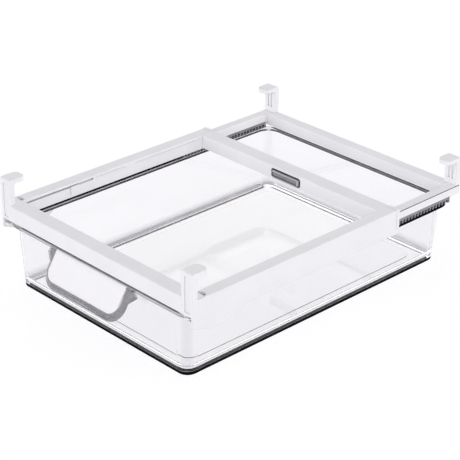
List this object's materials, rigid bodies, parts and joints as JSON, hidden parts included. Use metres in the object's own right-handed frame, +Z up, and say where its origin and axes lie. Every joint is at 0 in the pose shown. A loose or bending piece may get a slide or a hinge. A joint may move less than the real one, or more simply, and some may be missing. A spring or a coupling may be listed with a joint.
{
  "type": "refrigerator shelf drawer",
  "caption": "Clear pull-out bin hung under a shelf by a telescoping white frame with hooks, length-adjusting racks and a release button.",
  "frame": {"origin": "on the surface that the bin stands on, midway across the frame and midway along the whole length, pull flap included", "axes": "+X to the right of a person facing the drawer's front, -Y towards that person, +Z up"},
  "size_m": [0.3012, 0.416, 0.124],
  "materials": {
    "white_plastic": "satin moulded white",
    "clear_plastic": "clear, polished",
    "grey_plastic": "fine moulded grain",
    "button_plastic": "fine moulded grain",
    "latch_plastic": "natural acetal",
    "spring_steel": "bright drawn wire",
    "screw_steel": "zinc plated"
  },
  "bodies": {
    "front_frame": {"front_frame": "white_plastic", "crossbar_cover": "white_plastic", "cover_screws": "screw_steel", "button_spring_right": "spring_steel", "button_spring_left": "spring_steel"},
    "rear_frame": {"rear_frame": "white_plastic", "rack_right": "grey_plastic", "rack_left": "grey_plastic"},
    "bin": {"bin": "clear_plastic"},
    "release_button": {"release_button": "button_plastic"},
    "latch_right": {"latch_rod_right": "latch_plastic"},
    "latch_left": {"latch_rod_left": "latch_plastic"}
  },
  "joints": [
    {"name": "bin_slide", "type": "slide", "parent": "front_frame", "child": "bin", "axis": [0, -1, 0], "range_m": [0, 0.25]},
    {"name": "depth_adjust", "type": "slide", "parent": "front_frame", "child": "rear_frame", "axis": [0, 1, 0], "range_m": [-0.059, 0.02]},
    {"name": "button_press", "type": "slide", "parent": "front_frame", "child": "release_button", "axis": [0, 1, 0], "range_m": [0, 0.003], "stiffness_N_per_m": 800, "springref_m": -0.002, "deforming": ["button_spring_right", "button_spring_left"]},
    {"name": "latch_right_slide", "type": "slide", "parent": "front_frame", "child": "latch_right", "axis": [-1, 0, 0], "range_m": [0, 0.003]},
    {"name": "latch_left_slide", "type": "slide", "parent": "front_frame", "child": "latch_left", "axis": [1, 0, 0], "range_m": [0, 0.003]}
  ],
  "couplings": [
    {"joint": "latch_right_slide", "follows": "button_press", "ratio": 1},
    {"joint": "latch_left_slide", "follows": "button_press", "ratio": 1}
  ]
}
